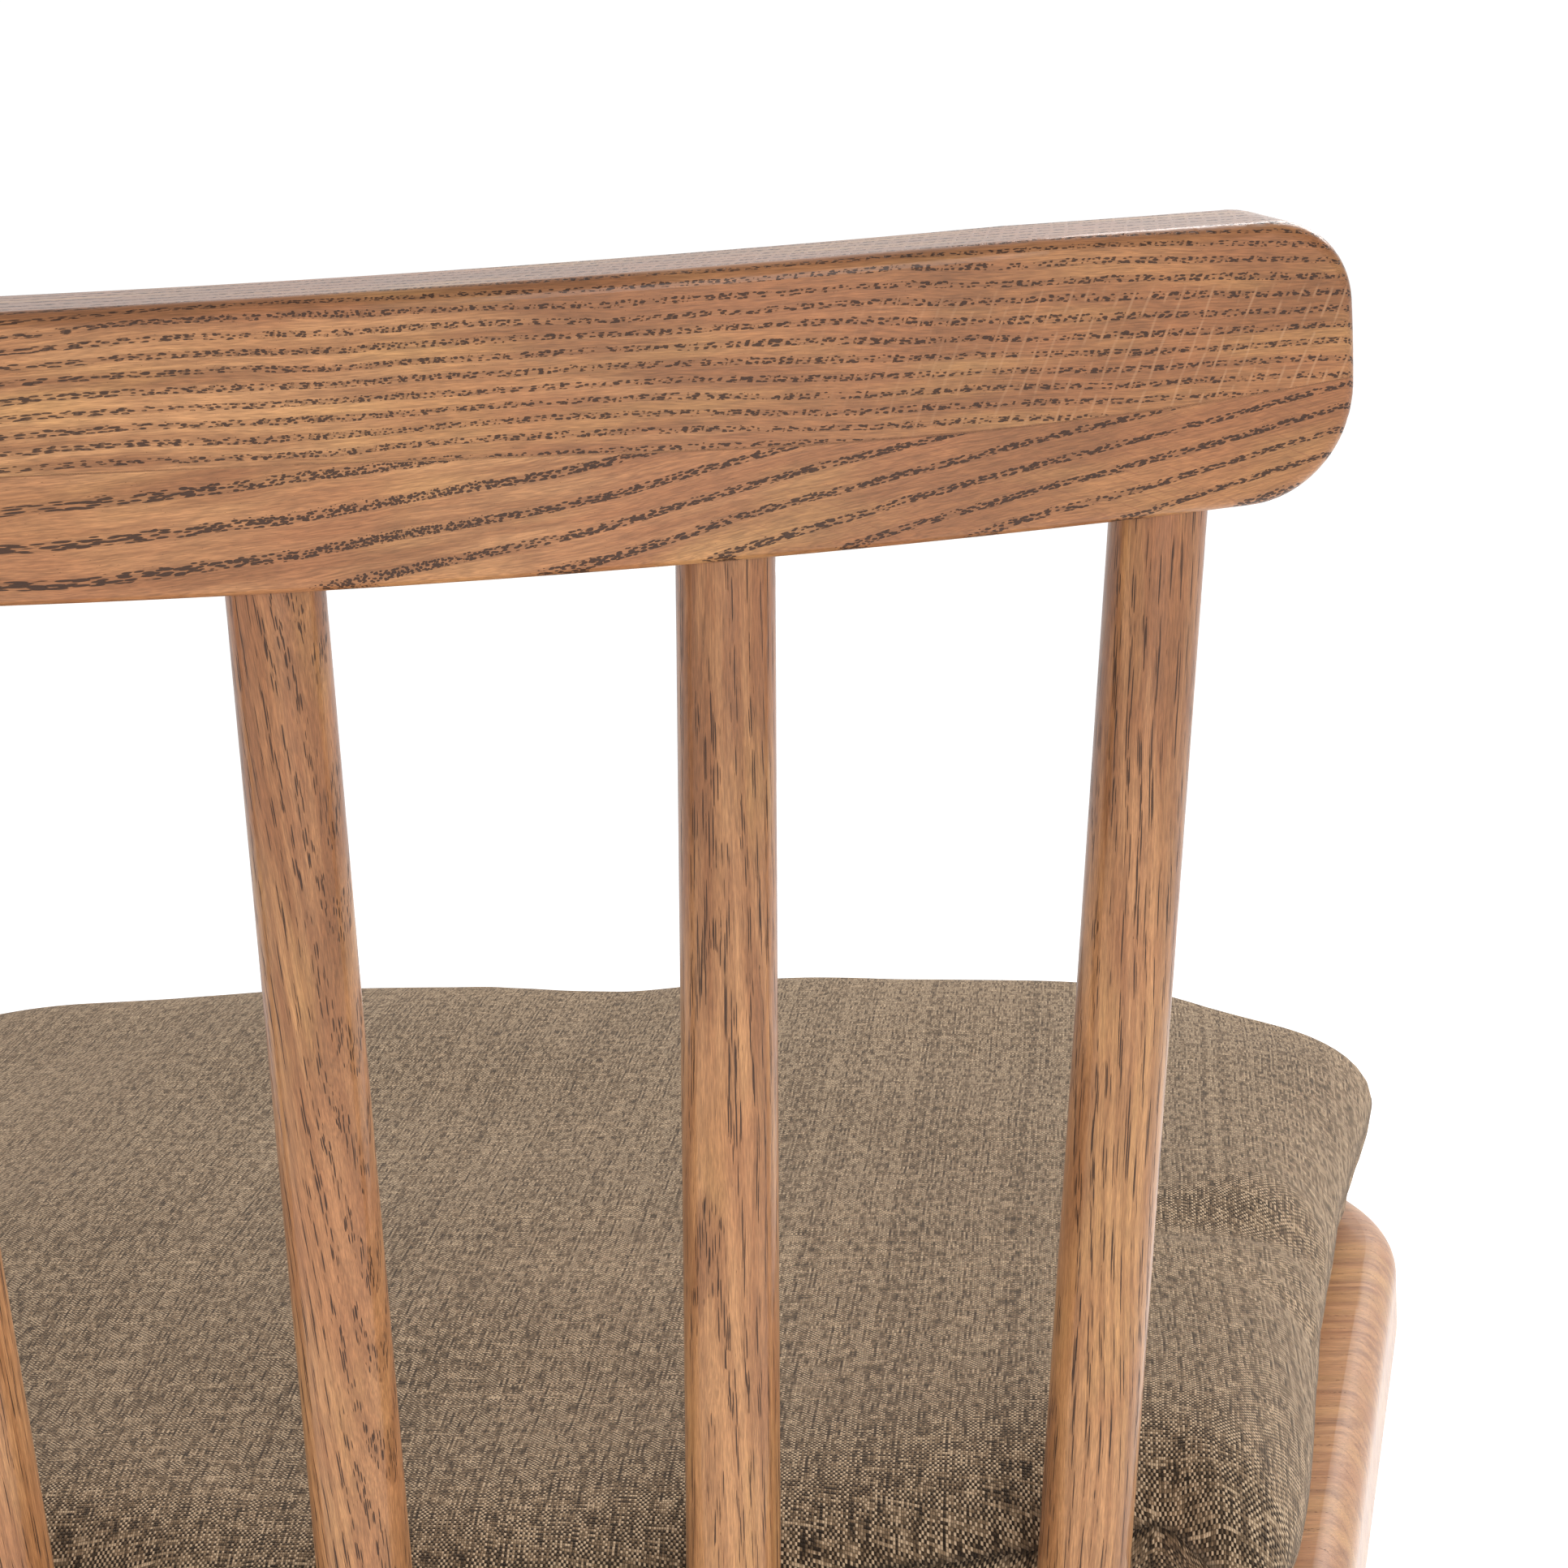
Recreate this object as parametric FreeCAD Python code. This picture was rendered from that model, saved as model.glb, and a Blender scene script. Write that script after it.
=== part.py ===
import FreeCAD, Part
import math
import os

from FreeCAD import Vector

# A wide, low-backed spindle chair in solid oak with a loose seat cushion.
# Millimetres. +X is the sitter's left, the chair faces -Y, +Z is up.
# The origin is on the floor, at the middle of the whole chair's plan.

os.makedirs("parts", exist_ok=True)

UP = Vector(0, 0, 1)

# Overall heights and places
SEAT_TOP = 415.0            # top face of the wooden seat above the floor
SEAT_THICKNESS = 30.0
CUSHION_THICKNESS = 62.0
RAIL_ABOVE_CUSHION = 196.0  # from the cushion's crown to the rail's lower edge
RAIL_BACK_Y = 250.3         # rail's outer face, lower edge, on the centre line
RECLINE = 7.1               # degrees that the back leans backwards

# Crest rail, a plank bent to an arc in the plane square to the spindles
RAIL_RADIUS = 630.0         # of the outer, convex face
RAIL_THICKNESS = 24.7
RAIL_HEIGHT = 55.1
RAIL_HALF_LENGTH = 254.0    # along the outer face
RAIL_TOP_CORNER = 17.0
RAIL_BOTTOM_CORNER = 22.0
RAIL_END_CROWN = 1.2        # how far the end face bulges
RAIL_END_DROP = 1.5         # how far the top edge falls towards the end
RAIL_END_RUN = 60.0         # length of the shaped end
RAIL_ROUND = 3.0

# Spindles
SPINDLES = 6
SPINDLE_SPACING = 85.5      # along the arc in the middle of the rail
SPINDLE_FAN = 0.88          # spacing at the seat over spacing at the rail
SPINDLE_TOP_D = 19.0
SPINDLE_FOOT_D = 20.0
RAIL_TENON_D = 14.0
RAIL_TENON_LENGTH = 32.0
SEAT_TENON_D = 15.0
SEAT_TENON_LENGTH = 22.0

# Seat, five boards glued edge to edge with their grain from side to side
SEAT_GLUE_LINES = 4
SEAT_BACK_LINE = 118.0      # Y of the rearmost glue line, clear of every mortise
SEAT_BOARD_WIDTH = 98.0
SEAT_BACK_MARGIN = 34.0     # from the spindle feet to the seat's back edge
SEAT_DEPTH = 495.0
SEAT_SIDE_SLOPE = 0.13      # how much the half width grows per unit of depth
SEAT_FRONT_HALF = 295.0     # half width at the front edge, before rounding
SEAT_FRONT_CORNER = 115.0
SEAT_BACK_CORNER = 55.0
SEAT_TOP_ROUND = 9.0
SEAT_BOTTOM_ROUND = 5.0

# Legs, given at the seat's underside and at the floor
FRONT_LEG_TOP = (203.0, -152.0)
FRONT_LEG_FOOT = (246.0, -218.0)
BACK_LEG_TOP = (150.0, 154.0)
BACK_LEG_FOOT = (204.0, 248.4)
LEG_SHOULDER_D = 33.0
LEG_SWELL_D = 37.0
LEG_FOOT_D = 25.0
LEG_SWELL_AT = 0.3          # fraction of the leg's length down from the seat
LEG_TENON_D = 24.0
LEG_TRIM = 10.0             # waste past each end of a turned leg, cut off level
GLIDE_HEIGHT = 5.0
GLIDE_D = 20.0
GLIDE_FLANGE = 2.0          # nylon left under the nail's head
GLIDE_ROUND = 1.5
NAIL_ROOM = 1.2             # around the nail's head in its recess
NAIL_D = 2.2
NAIL_LENGTH = 16.0
NAIL_HEAD_D = 6.0
NAIL_HEAD = 1.2
WEDGE_THICK = 3.0
WEDGE_TIP = 1.0
WEDGE_DEPTH = 18.0

# Stretchers
SIDE_STRETCHER_Z = 172.0
STRETCHER_END_D = 15.0
STRETCHER_MID_D = 22.0
STRETCHER_TENON_D = 13.0
STRETCHER_TENON = 11.0      # how far a tenon reaches past the wood's surface

# Loose cushion: two cover panels, two layers of fibre and a foam slab
CUSHION_SIDE_GAP = 11.0     # in from the seat's side edges
CUSHION_FRONT_GAP = 8.0
CUSHION_BACK_CLEAR = 4.0    # between the cushion and the spindles
CUSHION_FRONT_CORNER = 85.0
CUSHION_BACK_CORNER = 45.0
CUSHION_EDGE_ROUND = 24.0
CUSHION_LIFT = 0.3          # gap between the cushion and the seat
COVER_THICKNESS = 1.5
CORE_INSET = 34.0           # from the cover's edge to the foam slab's edge
CORE_THICKNESS = 36.0
CORE_ROUND = 8.0
ZIP_HALF_LENGTH = 150.0
ZIP_TAPE_HEIGHT = 9.0
ZIP_TAPE_THICKNESS = 1.2
ZIP_BELOW_SEAM = 0.5        # from the seam to the tape's top edge
ZIP_RUN = 60.0              # more than the back edge bows over the zip's length
SLIDER_SIZE = (9.0, 2.6, 6.0)
SLIDER_PROUD = 1.5          # how far the slider stands off the tape
SLIDER_ROUND = 0.8
SLIDER_PULL = (20.0, 1.0, 4.0)
SLIDER_AT = 132.0           # how far from the centre line the zip is closed to

# Cutting blocks
PAST = 30.0                 # how far a block reaches past the rail's end that it shapes
WIDE = 900.0                # wider and deeper than the whole chair
TALL = 100.0                # taller than the seat or the cushion

# Derived
SEAT_UNDERSIDE = SEAT_TOP - SEAT_THICKNESS
CUSHION_TOP = SEAT_TOP + CUSHION_THICKNESS
RAIL_Z = CUSHION_TOP + RAIL_ABOVE_CUSHION
LEAN = math.radians(RECLINE)
BACK_UP = Vector(0, math.sin(LEAN), math.cos(LEAN))
BACK_FORWARD = Vector(0, -math.cos(LEAN), math.sin(LEAN))
RAIL_BASE = Vector(0, RAIL_BACK_Y, RAIL_Z)
SPINDLE_ARC = RAIL_RADIUS - RAIL_THICKNESS / 2
BACK_LENGTH = (RAIL_Z - SEAT_TOP) / math.cos(LEAN)
SIDES = (("left", 1), ("right", -1))


def save(shape, node):
    """Write one clean solid, or a group of like solids, as its own part."""
    shape.exportStep("parts/" + node + ".step")
    box = shape.BoundBox
    print("%-24s solids %d volume %9.0f box %s" % (
        node, len(shape.Solids), shape.Volume,
        [round(v, 1) for v in (box.XMin, box.YMin, box.ZMin, box.XMax, box.YMax, box.ZMax)]))


def back_point(side, forward, up):
    """A point of the reclined back from its sideways, forward and upward parts."""
    return RAIL_BASE + Vector(side, 0, 0) + BACK_FORWARD * forward + BACK_UP * up


def to_back(shape):
    """Move a shape from the back's own axes (side, forward, up) to the chair."""
    matrix = FreeCAD.Matrix(
        -1, BACK_FORWARD.x, BACK_UP.x, RAIL_BASE.x,
        0, BACK_FORWARD.y, BACK_UP.y, RAIL_BASE.y,
        0, BACK_FORWARD.z, BACK_UP.z, RAIL_BASE.z,
        0, 0, 0, 1)
    moved = shape.copy()
    moved.Placement = FreeCAD.Placement(matrix).multiply(shape.Placement)
    return moved


def turned_part(start, end, profile):
    """Revolve (distance, radius) points about the line from start to end.

    The middle points are joined by one smooth curve.
    """
    length = (end - start).Length
    points = [Vector(radius, 0, along * length) for along, radius in profile]
    curve = Part.BSplineCurve()
    curve.interpolate(points)
    outline = Part.Wire([
        Part.makeLine(Vector(0, 0, 0), points[0]),
        curve.toShape(),
        Part.makeLine(points[-1], Vector(0, 0, length)),
        Part.makeLine(Vector(0, 0, length), Vector(0, 0, 0))])
    solid = Part.Face(outline).revolve(Vector(0, 0, 0), UP, 360)
    solid.Placement = FreeCAD.Placement(start, FreeCAD.Rotation(UP, end - start))
    return solid


def rod(start, end, diameter):
    """A plain round bar between two points."""
    axis = end - start
    return Part.makeCylinder(diameter / 2, axis.Length, start, axis)


def one_solid(shape):
    """The shape's largest solid."""
    return max(shape.Solids, key=lambda solid: solid.Volume)


# ---- crest rail ----

def rail_end_cutter():
    """What is cut away to shape one end of the rail, square to the plank."""
    top = RAIL_HEIGHT - RAIL_END_DROP
    deep = RAIL_THICKNESS + 2 * PAST
    low = Vector(0, -PAST, 0)
    corner = Vector(0, -PAST, top)
    crown = Vector(RAIL_END_CROWN, -PAST, top / 2)
    run_low = Vector(-RAIL_END_RUN, -PAST, 0)
    run_top = Vector(-RAIL_END_RUN, -PAST, RAIL_HEIGHT)
    outline = Part.Wire([
        Part.makeLine(run_low, low),
        Part.Arc(low, crown, corner).toShape(),
        Part.makeLine(corner, run_top),
        Part.makeLine(run_top, run_low)])
    kept = Part.Face(outline).extrude(Vector(0, deep, 0))

    def edge_at(solid, x, z):
        for edge in solid.Edges:
            ends = [vertex.Point for vertex in edge.Vertexes]
            if len(ends) == 2 and all(abs(p.x - x) < 0.01 and abs(p.z - z) < 0.01 for p in ends):
                return edge
        raise ValueError("no edge at %s, %s" % (x, z))

    kept = kept.makeFillet(RAIL_BOTTOM_CORNER, [edge_at(kept, 0, 0)])
    kept = kept.makeFillet(RAIL_TOP_CORNER, [edge_at(kept, 0, top)])
    block = Part.makeBox(RAIL_END_RUN + PAST, deep, RAIL_HEIGHT + 2 * PAST,
                         Vector(-RAIL_END_RUN, -PAST, -PAST))
    return block.cut(kept)


def make_rail_blank():
    """The bent plank with shaped ends and rounded edges, before its mortises."""
    spread = math.degrees(RAIL_HALF_LENGTH / RAIL_RADIUS)
    extra = 3.0
    inner = RAIL_RADIUS - RAIL_THICKNESS
    section = Part.Wire(Part.makePolygon([
        Vector(0, -RAIL_RADIUS, 0), Vector(0, -inner, 0),
        Vector(0, -inner, RAIL_HEIGHT), Vector(0, -RAIL_RADIUS, RAIL_HEIGHT),
        Vector(0, -RAIL_RADIUS, 0)]))
    face = Part.Face(section)
    face.rotate(Vector(0, 0, 0), UP, -(spread + extra))
    plank = face.revolve(Vector(0, 0, 0), UP, 2 * (spread + extra))
    for turn, mirror in ((spread, False), (-spread, True)):
        cutter = rail_end_cutter()
        if mirror:
            cutter = cutter.mirror(Vector(0, 0, 0), Vector(1, 0, 0))
        cutter.translate(Vector(0, -RAIL_RADIUS, 0))
        cutter.rotate(Vector(0, 0, 0), UP, turn)
        plank = plank.cut(cutter)
    plank = one_solid(plank)
    plank.translate(Vector(0, RAIL_RADIUS, 0))
    long_edges = []
    for edge in plank.Edges:
        middle = edge.valueAt((edge.FirstParameter + edge.LastParameter) / 2)
        reach = math.hypot(middle.x, middle.y - RAIL_RADIUS)
        on_face = min(abs(reach - RAIL_RADIUS), abs(reach - inner)) < 0.02
        ends = [vertex.Point for vertex in edge.Vertexes]
        across = len(ends) == 2 and abs(
            math.hypot(ends[0].x, ends[0].y - RAIL_RADIUS)
            - math.hypot(ends[1].x, ends[1].y - RAIL_RADIUS)) > 1
        if on_face and not across:
            long_edges.append(edge)
    rounded = plank.makeFillet(RAIL_ROUND, long_edges)
    return one_solid(to_back(rounded))


# ---- spindles ----

def spindle_axis(number):
    """Where a spindle's axis meets the rail's underside and the seat's top."""
    angle = (number - (SPINDLES + 1) / 2) * SPINDLE_SPACING / SPINDLE_ARC
    side = -SPINDLE_ARC * math.sin(angle)
    rise = SPINDLE_ARC * (1 - math.cos(angle))
    head = back_point(side, RAIL_THICKNESS / 2 + rise, 0)
    low = back_point(SPINDLE_FAN * side, RAIL_THICKNESS / 2 + SPINDLE_FAN * rise, -BACK_LENGTH)
    direction = (head - low).normalize()
    foot = head + direction * ((SEAT_TOP - head.z) / direction.z)
    return foot, head, direction


def make_spindle(number, rail_blank, seat_blank):
    """A straight, slightly tapered spindle with a round tenon at each end."""
    foot, head, direction = spindle_axis(number)
    reach = 12.0
    body = turned_part(
        foot - direction * reach, head + direction * reach,
        [(0, SPINDLE_FOOT_D / 2), (0.5, (SPINDLE_FOOT_D + SPINDLE_TOP_D) / 4), (1, SPINDLE_TOP_D / 2)])
    body = one_solid(body.cut(rail_blank).cut(seat_blank))
    upper = rod(head - direction * 4, head + direction * RAIL_TENON_LENGTH, RAIL_TENON_D)
    lower = rod(foot + direction * 4, foot - direction * SEAT_TENON_LENGTH, SEAT_TENON_D)
    return one_solid(body.fuse([upper, lower]).removeSplitter()), upper, lower


# ---- seat ----

def back_arc_y(side, margin):
    """Y of an arc that follows the spindle feet, margin behind their centres."""
    radius = SPINDLE_FAN * SPINDLE_ARC + margin
    foot_y = RAIL_BACK_Y - RAIL_THICKNESS / 2 * math.cos(LEAN) - BACK_LENGTH * math.sin(LEAN)
    return foot_y + margin - (radius - math.sqrt(radius * radius - side * side))


def plan_solid(back_margin, front_y, side_gap, corners, bottom, top):
    """A slab with the seat's plan: bowed back, flaring sides and round corners."""
    seat_front = back_arc_y(0, SEAT_BACK_MARGIN) - SEAT_DEPTH

    def half_width(y):
        return SEAT_FRONT_HALF - side_gap - SEAT_SIDE_SLOPE * (y - seat_front)

    side = half_width(back_arc_y(0, back_margin))
    for _ in range(20):
        side = half_width(back_arc_y(side, back_margin))
    back_y = back_arc_y(side, back_margin)
    front = half_width(front_y)
    middle = Vector(0, back_arc_y(0, back_margin), bottom)
    right_back = Vector(-side, back_y, bottom)
    left_back = Vector(side, back_y, bottom)
    right_front = Vector(-front, front_y, bottom)
    left_front = Vector(front, front_y, bottom)
    bow = Vector(0, front_y - 5, bottom)
    outline = Part.Wire([
        Part.Arc(right_back, middle, left_back).toShape(),
        Part.makeLine(left_back, left_front),
        Part.Arc(left_front, bow, right_front).toShape(),
        Part.makeLine(right_front, right_back)])
    slab = Part.Face(outline).extrude(Vector(0, 0, top - bottom))
    upright = [edge for edge in slab.Edges
               if len(edge.Vertexes) == 2
               and abs(edge.Vertexes[0].Z - edge.Vertexes[1].Z) > 1]
    at_back = [edge for edge in upright if edge.Vertexes[0].Y > (front_y + back_y) / 2]
    slab = slab.makeFillet(corners[1], at_back)
    upright = [edge for edge in slab.Edges
               if len(edge.Vertexes) == 2
               and abs(edge.Vertexes[0].Z - edge.Vertexes[1].Z) > 1
               and abs(edge.Vertexes[0].Y - front_y) < 0.01
               and abs(abs(edge.Vertexes[0].X) - front) < 0.01]
    return slab.makeFillet(corners[0], upright)


def rim_edges(slab, level):
    """The edges of a slab that lie all the way in one level plane."""
    return [edge for edge in slab.Edges
            if all(abs(vertex.Z - level) < 0.01 for vertex in edge.Vertexes)]


def make_seat_blank():
    """The whole glued-up seat panel with its edges rounded."""
    front_y = back_arc_y(0, SEAT_BACK_MARGIN) - SEAT_DEPTH
    slab = plan_solid(SEAT_BACK_MARGIN, front_y, 0, (SEAT_FRONT_CORNER, SEAT_BACK_CORNER),
                      SEAT_UNDERSIDE, SEAT_TOP)
    slab = slab.makeFillet(SEAT_TOP_ROUND, rim_edges(slab, SEAT_TOP))
    slab = slab.makeFillet(SEAT_BOTTOM_ROUND, rim_edges(slab, SEAT_UNDERSIDE))
    return one_solid(slab)


def seat_board(panel, index):
    """One board of the panel, counted from the back, between straight glue lines."""
    high = SEAT_BACK_LINE - (index - 1) * SEAT_BOARD_WIDTH
    low = high - SEAT_BOARD_WIDTH
    if index == 0:
        high = panel.BoundBox.YMax + 1
    if index == SEAT_GLUE_LINES:
        low = panel.BoundBox.YMin - 1
    box = Part.makeBox(WIDE, high - low, TALL, Vector(-WIDE / 2, low, SEAT_UNDERSIDE - SEAT_THICKNESS))
    return one_solid(panel.common(box))


# ---- legs ----

def leg_axis(top_xy, foot_xy, side):
    """A leg's axis where it meets the seat's underside and the glide's top."""
    top = Vector(side * top_xy[0], top_xy[1], SEAT_UNDERSIDE)
    floor = Vector(side * foot_xy[0], foot_xy[1], 0)
    direction = (top - floor).normalize()
    return floor + direction * (GLIDE_HEIGHT / direction.z), top, direction


def make_leg(top_xy, foot_xy, side, seat_blank):
    """A round tapered leg with a through tenon, cut level at the floor end."""
    foot, top, direction = leg_axis(top_xy, foot_xy, side)
    start = foot - direction * LEG_TRIM
    end = top + direction * LEG_TRIM
    swell = 1 - LEG_SWELL_AT
    body = turned_part(start, end, [
        (0, LEG_FOOT_D / 2), (0.35, LEG_FOOT_D / 2 + 3.1),
        (swell, LEG_SWELL_D / 2), (0.9, LEG_SHOULDER_D / 2 + 1.2), (1, LEG_SHOULDER_D / 2)])
    level = Part.makeBox(WIDE, WIDE, TALL, Vector(-WIDE / 2, -WIDE / 2, GLIDE_HEIGHT - TALL))
    body = body.cut(level).cut(seat_blank)
    tenon = rod(top - direction * 5, top + direction * (2 * SEAT_THICKNESS), LEG_TENON_D)
    above = Part.makeBox(WIDE, WIDE, TALL, Vector(-WIDE / 2, -WIDE / 2, SEAT_TOP))
    tenon = one_solid(tenon.cut(above))
    leg = one_solid(one_solid(body).fuse(tenon).removeSplitter())
    return leg, tenon


def make_wedge(top_xy, foot_xy, side):
    """The hardwood wedge that spreads one leg tenon, set square to the seat's grain."""
    _, top, direction = leg_axis(top_xy, foot_xy, side)
    centre = top + direction * (SEAT_THICKNESS / direction.z)
    half = LEG_TENON_D / 2 - 0.5
    outline = Part.makePolygon([
        Vector(-WEDGE_THICK / 2, 0, 0), Vector(WEDGE_THICK / 2, 0, 0),
        Vector(WEDGE_TIP / 2, 0, -WEDGE_DEPTH), Vector(-WEDGE_TIP / 2, 0, -WEDGE_DEPTH),
        Vector(-WEDGE_THICK / 2, 0, 0)])
    wedge = Part.Face(Part.Wire(outline)).extrude(Vector(0, 2 * half, 0))
    wedge.translate(centre - Vector(0, half, 0))
    return wedge


def make_glide(top_xy, foot_xy, side):
    """A round nylon glide under one foot, with its nail hole, and the nail."""
    foot = leg_axis(top_xy, foot_xy, side)[0]
    centre = Vector(foot.x, foot.y, 0)
    glide = Part.makeCylinder(GLIDE_D / 2, GLIDE_HEIGHT, centre)
    lower = [edge for edge in glide.Edges
             if len(edge.Vertexes) == 1 and edge.Vertexes[0].Z < 0.01]
    glide = glide.makeFillet(GLIDE_ROUND, lower)
    recess = Part.makeCylinder(NAIL_HEAD_D / 2 + NAIL_ROOM, GLIDE_HEIGHT - GLIDE_FLANGE, centre)
    shaft_base = centre + Vector(0, 0, GLIDE_HEIGHT - GLIDE_FLANGE)
    shaft = Part.makeCylinder(NAIL_D / 2, NAIL_LENGTH, shaft_base)
    head = Part.makeCylinder(NAIL_HEAD_D / 2, NAIL_HEAD, shaft_base - Vector(0, 0, NAIL_HEAD))
    nail = one_solid(shaft.fuse(head).removeSplitter())
    return one_solid(glide.cut([recess, shaft])), nail, shaft


# ---- stretchers ----

def point_on_leg(top_xy, foot_xy, side, height):
    """The point of a leg's axis at a height above the floor."""
    foot, _, direction = leg_axis(top_xy, foot_xy, side)
    return foot + direction * ((height - foot.z) / direction.z)


def make_stretcher(start, end, host_radius):
    """A turned stretcher between two axes, and the tenons that its hosts lose."""
    direction = (end - start).normalize()
    shoulder = host_radius - 2.0
    first = start + direction * shoulder
    last = end - direction * shoulder
    body = turned_part(first, last, [
        (0, STRETCHER_END_D / 2), (0.25, STRETCHER_MID_D / 2 - 0.9),
        (0.5, STRETCHER_MID_D / 2), (0.75, STRETCHER_MID_D / 2 - 0.9), (1, STRETCHER_END_D / 2)])
    low = rod(first + direction * 3, first - direction * STRETCHER_TENON, STRETCHER_TENON_D)
    high = rod(last - direction * 3, last + direction * STRETCHER_TENON, STRETCHER_TENON_D)
    return body, low, high


# ---- cushion ----

def cushion_form(inset, bottom, top, edge_round):
    """A plain slab with the cushion's plan, inset all round, with soft edges."""
    seat_front = back_arc_y(0, SEAT_BACK_MARGIN) - SEAT_DEPTH
    front_y = seat_front + CUSHION_FRONT_GAP + inset
    margin = -(SPINDLE_FOOT_D / 2 + CUSHION_BACK_CLEAR + inset)
    corners = (CUSHION_FRONT_CORNER - inset * 0.5, CUSHION_BACK_CORNER - inset * 0.5)
    slab = plan_solid(margin, front_y, CUSHION_SIDE_GAP + inset, corners, bottom, top)
    slab = slab.makeFillet(edge_round, rim_edges(slab, top))
    slab = slab.makeFillet(edge_round, rim_edges(slab, bottom))
    return one_solid(slab)


def make_slider(height):
    """The zip's slider with its pull, turned to follow the bowed back edge."""
    long, deep, tall = SLIDER_SIZE
    body = Part.makeBox(long, deep, tall, Vector(-long / 2, SLIDER_PROUD - deep, -tall / 2))
    body = body.makeFillet(SLIDER_ROUND, body.Edges)
    long, deep, tall = SLIDER_PULL
    pull = Part.makeBox(long, deep, tall, Vector(-long, SLIDER_PROUD - deep - 0.2, -tall / 2))
    slider = one_solid(body.fuse(pull).removeSplitter())
    margin = -(SPINDLE_FOOT_D / 2 + CUSHION_BACK_CLEAR)
    bow = math.asin(SLIDER_AT / (SPINDLE_FAN * SPINDLE_ARC + margin))
    slider.rotate(Vector(0, 0, 0), UP, -math.degrees(bow))
    slider.translate(Vector(SLIDER_AT, back_arc_y(SLIDER_AT, margin), height))
    return slider


def make_cushion():
    """The cushion's cover panels, fibre layers, foam slab, zip and slider."""
    bottom = SEAT_TOP + CUSHION_LIFT
    top = SEAT_TOP + CUSHION_THICKNESS
    middle = (bottom + top) / 2
    outer = cushion_form(0, bottom, top, CUSHION_EDGE_ROUND)
    skin = COVER_THICKNESS
    inner = cushion_form(skin, bottom + skin, top - skin, CUSHION_EDGE_ROUND - skin)
    core = cushion_form(CORE_INSET, middle - CORE_THICKNESS / 2, middle + CORE_THICKNESS / 2, CORE_ROUND)
    upper = Part.makeBox(WIDE, WIDE, TALL, Vector(-WIDE / 2, -WIDE / 2, middle))
    lower = Part.makeBox(WIDE, WIDE, TALL, Vector(-WIDE / 2, -WIDE / 2, middle - TALL))

    zip_front = outer.BoundBox.YMax - ZIP_RUN
    tape = Part.makeBox(2 * ZIP_HALF_LENGTH, ZIP_RUN, ZIP_TAPE_HEIGHT,
                        Vector(-ZIP_HALF_LENGTH, zip_front, middle - ZIP_TAPE_HEIGHT - ZIP_BELOW_SEAM))
    outside = cushion_form(ZIP_TAPE_THICKNESS, bottom + 1, top - 1, CUSHION_EDGE_ROUND - 1)
    zip_strip = one_solid(outer.common(tape).cut(outside))

    slider = make_slider(middle - ZIP_TAPE_HEIGHT / 2)
    zip_strip = one_solid(zip_strip.cut(slider))

    shell = outer.cut(inner)
    pieces = {
        "cushion_cover_top": shell.common(upper),
        "cushion_cover_bottom": shell.common(lower).cut([zip_strip, slider]),
        "cushion_fibre_top": inner.common(upper).cut(core),
        "cushion_fibre_bottom": inner.common(lower).cut(core),
        "cushion_foam": core,
        "cushion_zip": zip_strip,
        "cushion_zip_slider": slider}
    return {name: one_solid(shape) for name, shape in pieces.items()}


# ---- the whole chair ----

rail = make_rail_blank()
panel = make_seat_blank()

spindle_tenons = []
for number in range(1, SPINDLES + 1):
    spindle, upper_tenon, lower_tenon = make_spindle(number, rail, panel)
    save(spindle, "spindle_%d" % number)
    spindle_tenons.append((upper_tenon, lower_tenon))
rail = one_solid(rail.cut([pair[0] for pair in spindle_tenons]))
save(rail, "crest_rail")
panel = one_solid(panel.cut([pair[1] for pair in spindle_tenons]))

leg_places = (("front", FRONT_LEG_TOP, FRONT_LEG_FOOT), ("back", BACK_LEG_TOP, BACK_LEG_FOOT))
legs = {}
leg_tenons = []
glides = {}
nails = []
wedges = []
for end_name, top_xy, foot_xy in leg_places:
    for side_name, side in SIDES:
        leg, tenon = make_leg(top_xy, foot_xy, side, panel)
        wedge = make_wedge(top_xy, foot_xy, side)
        glide, nail, nail_shaft = make_glide(top_xy, foot_xy, side)
        wedge = one_solid(wedge.common(tenon))
        legs[(end_name, side_name)] = leg.cut([wedge, nail_shaft])
        glides[(end_name, side_name)] = glide
        leg_tenons.append(tenon)
        wedges.append(wedge)
        nails.append(nail)
panel = one_solid(panel.cut(leg_tenons))

side_stretchers = {}
for side_name, side in SIDES:
    ahead = point_on_leg(FRONT_LEG_TOP, FRONT_LEG_FOOT, side, SIDE_STRETCHER_Z)
    behind = point_on_leg(BACK_LEG_TOP, BACK_LEG_FOOT, side, SIDE_STRETCHER_Z)
    body, low, high = make_stretcher(ahead, behind, LEG_SWELL_D / 2 - 2.5)
    front_leg = legs[("front", side_name)]
    back_leg = legs[("back", side_name)]
    stretcher = one_solid(one_solid(body.cut([front_leg, back_leg])).fuse([low, high]).removeSplitter())
    legs[("front", side_name)] = front_leg.cut(low)
    legs[("back", side_name)] = back_leg.cut(high)
    side_stretchers[side_name] = (stretcher, (ahead + behind) * 0.5)

body, low, high = make_stretcher(side_stretchers["right"][1], side_stretchers["left"][1],
                                 STRETCHER_MID_D / 2)
right_stretcher = side_stretchers["right"][0]
left_stretcher = side_stretchers["left"][0]
cross = one_solid(body.cut([right_stretcher, left_stretcher]))
cross = one_solid(cross.fuse([low, high]).removeSplitter())
save(cross, "cross_stretcher")
save(one_solid(right_stretcher.cut(low)), "side_stretcher_right")
save(one_solid(left_stretcher.cut(high)), "side_stretcher_left")

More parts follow.
